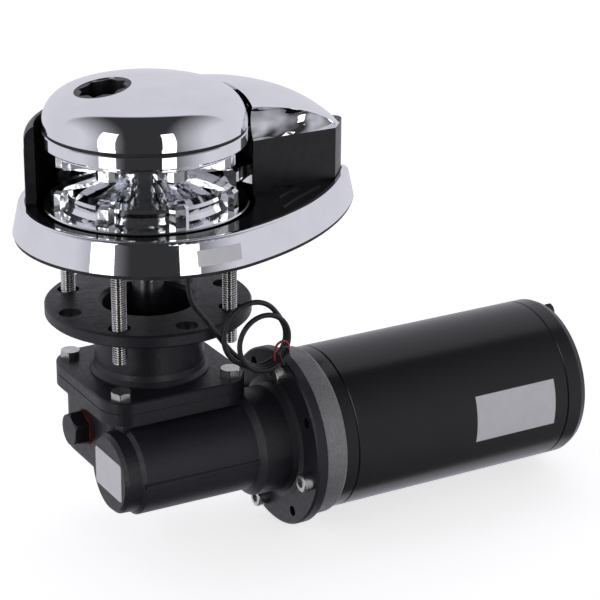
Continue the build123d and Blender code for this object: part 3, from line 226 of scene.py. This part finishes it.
def chrome_finish(name, rough, swirl, wave, wave_scale):
    """Mirror plating with fine wipe marks in its roughness and a faint casting wave."""
    made, tree, shader = node_material(name, CHROME, 1.0, rough)
    tone = two_tone(tree, noise(tree, 60), tuple(c * 0.95 for c in CHROME), CHROME)
    tree.links.new(tone, shader.inputs["Base Color"])
    marks = spread(tree, noise(tree, 260, 6.0, (1, 4, 1)), rough, rough + swirl, 0.45, 0.8)
    tree.links.new(marks, shader.inputs["Roughness"])
    relief(tree, shader, noise(tree, wave_scale, 2.0), wave, 0.0004)
    return made


mirror = chrome_finish("mirror_chrome", 0.03, 0.04, 0.05, 20)
for name in ("base_plate", "clutch_ring", "cap"):
    dress(nodes[name], mirror)


SCOOP_EDGE_Y = (-0.0145, -0.0105)


def cover_finish():
    """The same plating; the scooped flank keeps the uneven surface of its casting."""
    made, tree, shader = node_material("cover_chrome", CHROME, 1.0, 0.04)
    tree.links.new(two_tone(tree, noise(tree, 60), tuple(c * 0.95 for c in CHROME), CHROME),
                   shader.inputs["Base Color"])
    tree.links.new(spread(tree, noise(tree, 260, 6.0, (1, 4, 1)), 0.03, 0.08, 0.45, 0.8),
                   shader.inputs["Roughness"])
    place = tree.nodes.new("ShaderNodeTexCoord")
    split = tree.nodes.new("ShaderNodeSeparateXYZ")
    tree.links.new(place.outputs["Object"], split.inputs["Vector"])
    flank = spread(tree, split.outputs["Y"], 1.0, 0.03, *SCOOP_EDGE_Y)
    wave = relief(tree, shader, noise(tree, 75, 1.5, (0.5, 1, 1)), 1.0, 0.008)
    tree.links.new(flank, wave.inputs["Strength"])
    return made


dress(nodes["top_cover"], cover_finish())
dress(nodes["gypsy"], chrome_finish("cast_chrome", 0.07, 0.12, 0.9, 110))


# Black moulded housing and lever socket: glass-filled plastic, satin on the walls.
# The tray around the gypsy is wiped glossy.
def moulded_finish(name, colour, low, high, depth):
    """Moulded plastic: a fine spark-eroded grain and slightly uneven gloss."""
    made, tree, shader = node_material(name, colour, 0.0, (low + high) / 2)
    light = tuple(c * 1.6 for c in colour)
    tree.links.new(two_tone(tree, noise(tree, 180), colour, light), shader.inputs["Base Color"])
    tree.links.new(spread(tree, noise(tree, 320), low, high), shader.inputs["Roughness"])
    relief(tree, shader, noise(tree, 2600, 2.0), 0.3, depth)
    return made


satin_moulding = moulded_finish("satin_moulding", (0.012, 0.012, 0.014), 0.3, 0.42, 0.0001)
for name in ("lever_socket", "chain_counter"):
    dress(nodes[name], satin_moulding)


TRAY_SHEEN_Z = (0.0182, 0.0190)


def housing_finish():
    """The same moulding, with a glossy tray below the height of its walls."""
    made, tree, shader = node_material("housing_moulding", (0.012, 0.012, 0.014), 0.0, 0.3)
    tree.links.new(two_tone(tree, noise(tree, 180), (0.010, 0.010, 0.012), (0.018, 0.018, 0.021)),
                   shader.inputs["Base Color"])
    place = tree.nodes.new("ShaderNodeTexCoord")
    split = tree.nodes.new("ShaderNodeSeparateXYZ")
    tree.links.new(place.outputs["Object"], split.inputs["Vector"])
    height = spread(tree, split.outputs["Z"], 0.0, 1.0, *TRAY_SHEEN_Z)
    both = tree.nodes.new("ShaderNodeMix")
    tree.links.new(height, both.inputs[0])
    tree.links.new(spread(tree, noise(tree, 90, 6.0), 0.07, 0.16), both.inputs[2])
    tree.links.new(spread(tree, noise(tree, 320), 0.3, 0.42), both.inputs[3])
    tree.links.new(both.outputs[0], shader.inputs["Roughness"])
    relief(tree, shader, noise(tree, 2600, 2.0), 0.15, 0.0001)
    return made


dress(nodes["housing"], housing_finish())


# Rubber pieces: the deck gasket, the shaft collar, the seals and the seam gasket.
# Moulded black rubber, held between the pieces that they seal.
def rubber_finish():
    """Black rubber: matt, with a dusty bloom."""
    made, tree, shader = node_material("black_rubber", (0.014, 0.014, 0.015), 0.0, 0.6)
    tone = two_tone(tree, noise(tree, 90), (0.010, 0.010, 0.010), (0.03, 0.03, 0.031))
    tree.links.new(tone, shader.inputs["Base Color"])
    tree.links.new(spread(tree, noise(tree, 500), 0.5, 0.72), shader.inputs["Roughness"])
    relief(tree, shader, noise(tree, 1800), 0.3, 0.0001)
    return made


rubber = rubber_finish()
for name in ("deck_gasket", "shaft_collar", "cap_seal", "main_seal", "worm_seal", "seam_gasket"):
    dress(nodes[name], rubber)


# Bright steel: bolts, screws, the shaft, bearings and other turned pieces, and the chain stripper.
# Stainless steel outside and ground steel inside; the stripper is a galvanised casting on two screws.
def steel_finish(name, colour, low, high, stretch):
    """Turned or drawn steel: roughness streaks along the tool's path."""
    made, tree, shader = node_material(name, colour, 1.0, (low + high) / 2)
    deep = tuple(c * 0.78 for c in colour)
    tree.links.new(two_tone(tree, noise(tree, 220, 5.0, stretch), deep, colour), shader.inputs["Base Color"])
    tree.links.new(spread(tree, noise(tree, 700, 5.0, stretch), low, high), shader.inputs["Roughness"])
    relief(tree, shader, noise(tree, 1200, 3.0, stretch), 0.15, 0.0001)
    return made


stainless = steel_finish("stainless_steel", (0.66, 0.65, 0.63), 0.2, 0.34, (1, 1, 6))
for name in ("deck_studs", "cover_bolts", "flange_screws", "stripper_screws", "cap_washer"):
    dress(nodes[name], stainless)
dress(nodes["chain_stripper"], chrome_finish("galvanised_casting", 0.16, 0.2, 1.0, 260))
ground_steel = steel_finish("ground_steel", (0.66, 0.66, 0.67), 0.12, 0.22, (1, 1, 9))
for name in ("main_shaft", "shaft_keys", "wheel_spacer", "main_bearing_outers", "main_bearing_inners",
             "main_bearing_balls", "worm", "worm_bearing_outers", "worm_bearing_inners", "worm_bearing_balls",
             "coupling", "armature_shaft"):
    dress(nodes[name], ground_steel)


# Gearbox castings and their filler plug, bolted together under the deck.
# Sand-cast aluminium under satin black paint with a bluish cast.
def cast_paint_finish():
    """Paint over a sand casting: pebbled grain under an even satin coat."""
    made, tree, shader = node_material("cast_black_paint", (0.010, 0.011, 0.015), 0.0, 0.42)
    tone = two_tone(tree, noise(tree, 45), (0.011, 0.011, 0.016), (0.016, 0.016, 0.023))
    tree.links.new(tone, shader.inputs["Base Color"])
    tree.links.new(spread(tree, noise(tree, 420), 0.36, 0.5), shader.inputs["Roughness"])
    relief(tree, shader, noise(tree, 620, 3.0), 0.4, 0.0003)
    return made


cast_paint = cast_paint_finish()
for name in ("gearbox_cover", "gear_case", "filler_plug"):
    dress(nodes[name], cast_paint)


# Motor adapter: the ring between the gear case and the motor.
# Raw cast aluminium, grey and a little stained.
def raw_aluminium_finish():
    """Raw casting: mottled grey with sparse brown stains."""
    made, tree, shader = node_material("raw_aluminium", (0.30, 0.30, 0.30), 0.75, 0.5)
    tone = two_tone(tree, noise(tree, 1400, 8.0), (0.26, 0.26, 0.26), (0.36, 0.36, 0.36))
    stain = tree.nodes.new("ShaderNodeMix")
    stain.data_type = "RGBA"
    stain.inputs["B"].default_value = (0.16, 0.09, 0.04, 1)
    tree.links.new(spread(tree, noise(tree, 110, 6.0), 0, 0.5, 0.62, 0.75), stain.inputs["Factor"])
    tree.links.new(tone, stain.inputs["A"])
    tree.links.new(stain.outputs["Result"], shader.inputs["Base Color"])
    tree.links.new(spread(tree, noise(tree, 600), 0.4, 0.65), shader.inputs["Roughness"])
    relief(tree, shader, noise(tree, 1100, 4.0), 0.5, 0.0003)
    return made


dress(nodes["motor_adapter"], raw_aluminium_finish())


# Motor case: drawn steel tube and cast ends under gloss black paint.
# The two long tie bolts were painted with it.
def motor_paint_finish():
    """Gloss paint: slight orange peel and dust."""
    made, tree, shader = node_material("gloss_black_paint", (0.004, 0.004, 0.005), 0.0, 0.22)
    tone = two_tone(tree, noise(tree, 80), (0.0035, 0.0035, 0.004), (0.006, 0.006, 0.007))
    tree.links.new(tone, shader.inputs["Base Color"])
    tree.links.new(spread(tree, noise(tree, 240, 6.0, (1, 4, 4)), 0.18, 0.27), shader.inputs["Roughness"])
    relief(tree, shader, noise(tree, 500, 2.0), 0.06, 0.0002)
    return made


motor_paint = motor_paint_finish()
for name in ("motor_bell", "motor_tube", "motor_rear_cap", "tie_bolts"):
    dress(nodes[name], motor_paint)


# Inner and small parts, and the bare labels.
# Bronze, copper, carbon, laminated iron, red fibre and white label film.
def plain_finish(name, first, second, metallic, low, high, scale):
    """Two-tone finish with uneven gloss, for the plain inner parts."""
    made, tree, shader = node_material(name, first, metallic, (low + high) / 2)
    tree.links.new(two_tone(tree, noise(tree, scale), first, second), shader.inputs["Base Color"])
    tree.links.new(spread(tree, noise(tree, scale * 3), low, high), shader.inputs["Roughness"])
    relief(tree, shader, noise(tree, scale * 6), 0.2, 0.0001)
    return made


bronze = plain_finish("machined_bronze", (0.45, 0.26, 0.10), (0.58, 0.36, 0.16), 1.0, 0.25, 0.4, 150)
for name in ("shaft_bush", "lower_thrust_washer", "lower_cone", "worm_wheel", "rear_bush", "terminal_studs"):
    dress(nodes[name], bronze)
copper = plain_finish("copper_winding", (0.42, 0.15, 0.05), (0.55, 0.22, 0.08), 0.9, 0.25, 0.45, 300)
for name in ("end_windings", "commutator"):
    dress(nodes[name], copper)
iron = plain_finish("laminated_iron", (0.10, 0.10, 0.10), (0.16, 0.16, 0.16), 0.8, 0.4, 0.6, 200)
for name in ("armature_core", "magnets", "counter_magnet"):
    dress(nodes[name], iron)
carbon = plain_finish("brush_carbon", (0.02, 0.02, 0.02), (0.04, 0.04, 0.04), 0.0, 0.5, 0.7, 200)
for name in ("brushes", "brush_holder"):
    dress(nodes[name], carbon)
fibre = plain_finish("red_fibre", (0.13, 0.012, 0.008), (0.20, 0.02, 0.014), 0.0, 0.5, 0.7, 400)
for name in ("plug_washer", "terminal_washers"):
    dress(nodes[name], fibre)
film = plain_finish("label_film", (0.84, 0.84, 0.86), (0.88, 0.88, 0.90), 0.0, 0.35, 0.5, 120)
dress(nodes["labels"], film)


# Deck studs: M8 x 1.25 threads rolled on stainless rod.
# Each stud is screwed into the base plate and keeps a short plain length under it.
STUD_SQUARE = 0.03199
STUD_RADIUS = 0.004
STUD_CORE_RADIUS = 0.0037
STUD_FOOT_RADIUS = 0.0032
STUD_LOW = -0.0565
STUD_HIGH = 0.010
THREAD_HIGH = -0.004
THREAD_PITCH = 0.00125
THREAD_DEPTH = 0.00066
THREAD_STEPS = 10
STUD_SIDES = 36


def threaded_surface(x, y):
    """Grid of points (angle a, height z) with radius R - D * |2 frac((z - P a / 2 pi) / P) - 1|, eased
    to the plain radius above the thread and to a chamfer at the foot, with a thinner core inside the
    base plate, closed by a pole at each end."""
    rows = round((THREAD_HIGH - STUD_LOW) / THREAD_PITCH * THREAD_STEPS)
    z = np.concatenate([np.linspace(STUD_LOW, THREAD_HIGH, rows + 1), [0.0, 0.0, STUD_HIGH]])
    angle = np.linspace(0, 2 * np.pi, STUD_SIDES, endpoint=False)
    zz, aa = np.meshgrid(z, angle, indexing="ij")
    phase = ((zz - STUD_LOW) / THREAD_PITCH - aa / (2 * np.pi)) % 1.0
    depth = THREAD_DEPTH * np.abs(2 * phase - 1)
    depth *= np.clip((THREAD_HIGH - zz) / THREAD_PITCH, 0, 1)
    radius = np.minimum(STUD_RADIUS - depth, STUD_FOOT_RADIUS + (zz - STUD_LOW))
    radius[-2:] = STUD_CORE_RADIUS
    side = np.stack([x + radius * np.cos(aa), y + radius * np.sin(aa), zz], -1).reshape(-1, 3)
    return np.vstack([side, [[x, y, STUD_LOW], [x, y, STUD_HIGH]]]), len(z)


def threaded_faces(rows, start):
    """Quads between the rows and a fan of triangles onto each pole, all facing outwards."""
    row, side = np.meshgrid(np.arange(rows - 1), np.arange(STUD_SIDES), indexing="ij")
    here = start + row * STUD_SIDES + side
    beside = start + row * STUD_SIDES + (side + 1) % STUD_SIDES
    quads = np.stack([here, beside, beside + STUD_SIDES, here + STUD_SIDES], -1).reshape(-1, 4)
    ring = np.arange(STUD_SIDES)
    following = (ring + 1) % STUD_SIDES
    foot = start + rows * STUD_SIDES
    last = start + (rows - 1) * STUD_SIDES
    low = np.stack([following + start, ring + start, np.full(STUD_SIDES, foot)], -1)
    high = np.stack([ring + last, following + last, np.full(STUD_SIDES, foot + 1)], -1)
    return quads.tolist() + low.tolist() + high.tolist()


stud_points = []
stud_faces = []
for x, y in ((1, 1), (-1, 1), (-1, -1), (1, -1)):
    points, rows = threaded_surface(x * STUD_SQUARE, y * STUD_SQUARE)
    stud_faces += threaded_faces(rows, sum(len(p) for p in stud_points))
    stud_points.append(points)
stud_mesh = bpy.data.meshes.new("deck_stud_threads")
stud_mesh.from_pydata(np.vstack(stud_points).tolist(), [], stud_faces)
stud_mesh.shade_smooth()
studs = bpy.data.objects.new("deck_stud_threads", stud_mesh)
bpy.context.scene.collection.objects.link(studs)
dress(studs, steel_finish("rolled_thread", (0.70, 0.69, 0.67), 0.14, 0.24, (1, 1, 3)))
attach(studs, "fixed_unit")
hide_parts("deck_studs")


# Floor: a plain pale surface under the motor and the gearbox that keeps the object's soft shadow.
# The camera sees it as white; mirror reflections look past it.
FLOOR_Z = -0.1635
FLOOR_SIZE = 8
FLOOR_PALE = (0.9, 0.9, 0.9)
FLOOR_GLOW = 0.685


def floor_finish():
    """Pale matt floor with a white glow that only the camera sees."""
    made = bpy.data.materials.new("white_floor")
    made.use_nodes = True
    tree = made.node_tree
    shader = next(n for n in tree.nodes if n.type == "BSDF_PRINCIPLED")
    output = next(n for n in tree.nodes if n.type == "OUTPUT_MATERIAL")
    shader.inputs["Base Color"].default_value = (*FLOOR_PALE, 1)
    shader.inputs["Roughness"].default_value = 0.9
    path = tree.nodes.new("ShaderNodeLightPath")
    glow = tree.nodes.new("ShaderNodeMath")
    glow.operation = "MULTIPLY"
    glow.inputs[1].default_value = FLOOR_GLOW
    tree.links.new(path.outputs["Is Camera Ray"], glow.inputs[0])
    shader.inputs["Emission Color"].default_value = (1, 1, 1, 1)
    tree.links.new(glow.outputs[0], shader.inputs["Emission Strength"])
    clear = tree.nodes.new("ShaderNodeBsdfTransparent")
    mix = tree.nodes.new("ShaderNodeMixShader")
    tree.links.new(path.outputs["Is Glossy Ray"], mix.inputs[0])
    tree.links.new(shader.outputs[0], mix.inputs[1])
    tree.links.new(clear.outputs[0], mix.inputs[2])
    tree.links.new(mix.outputs[0], output.inputs["Surface"])
    return made


bpy.ops.mesh.primitive_plane_add(size=FLOOR_SIZE, location=(0, 0, FLOOR_Z))
floor = bpy.context.object
floor.name = "floor"
dress(floor, floor_finish())


# Studio: a pale ceiling and side walls, a dark front behind the camera and two soft upright strips.
# The camera itself sees plain white all round.
TO_CAMERA = Vector((CAMERA_PLACE[0], CAMERA_PLACE[1], 0)).normalized()
TO_SIDE = Vector((-TO_CAMERA.y, TO_CAMERA.x, 0))
CEILING = (0.70, 0.69, 0.76)
FRONT = (0.035, 0.035, 0.038)
BACKGROUND_WHITE = (1, 1, 1)
FRONT_EDGE = (-0.32, -0.24)
SIDE_EDGE = (0.12, 0.85)
STRIP_DISTANCE = 1.6
STRIP_HEIGHTS = (-0.7, 1.2)

world = bpy.data.worlds.new("studio")
bpy.context.scene.world = world
world.use_nodes = True
room = world.node_tree
background = room.nodes["Background"]
background.inputs["Strength"].default_value = 1.0
direction = room.nodes.new("ShaderNodeTexCoord")


def along(vector):
    """How far a direction points along a vector, as a node output."""
    dot = room.nodes.new("ShaderNodeVectorMath")
    dot.operation = "DOT_PRODUCT"
    dot.inputs[1].default_value = vector
    room.links.new(direction.outputs["Generated"], dot.inputs[0])
    return dot.outputs["Value"]


def product(first, second):
    """Product of two node outputs."""
    times = room.nodes.new("ShaderNodeMath")
    times.operation = "MULTIPLY"
    room.links.new(first, times.inputs[0])
    room.links.new(second, times.inputs[1])
    return times.outputs[0]


ahead = spread(room, along(TO_CAMERA), 0, 1, *FRONT_EDGE)
aside = along(TO_SIDE)
middle = spread(room, product(aside, aside), 1, 0, *SIDE_EDGE)
tint = room.nodes.new("ShaderNodeMix")
tint.data_type = "RGBA"
tint.inputs["A"].default_value = (*CEILING, 1)
tint.inputs["B"].default_value = (*FRONT, 1)
room.links.new(product(ahead, middle), tint.inputs["Factor"])
seen = room.nodes.new("ShaderNodeMix")
seen.data_type = "RGBA"
seen.inputs["B"].default_value = (*BACKGROUND_WHITE, 1)
room.links.new(tint.outputs["Result"], seen.inputs["A"])
camera_path = room.nodes.new("ShaderNodeLightPath")
room.links.new(camera_path.outputs["Is Camera Ray"], seen.inputs["Factor"])
room.links.new(seen.outputs["Result"], background.inputs["Color"])


def panel_light(name, azimuth, width, power):
    """Upright soft panel that faces the object, azimuth in degrees from the camera's side."""
    turn = math.radians(azimuth)
    low, high = STRIP_HEIGHTS
    place = (TO_CAMERA * math.cos(turn) + TO_SIDE * math.sin(turn)) * STRIP_DISTANCE
    place.z = (low + high) / 2
    data = bpy.data.lights.new(name, "AREA")
    data.shape = "RECTANGLE"
    data.size = width
    data.size_y = high - low
    data.energy = power
    lamp = bpy.data.objects.new(name, data)
    bpy.context.scene.collection.objects.link(lamp)
    lamp.location = place
    lamp.rotation_euler = Vector((-place.x, -place.y, 0)).to_track_quat("-Z", "Y").to_euler()
    return lamp


panel_light("left_strip", -42, 0.55, 6)
panel_light("right_strip", 26, 0.45, 5)

bpy.context.scene.view_settings.view_transform = "Standard"
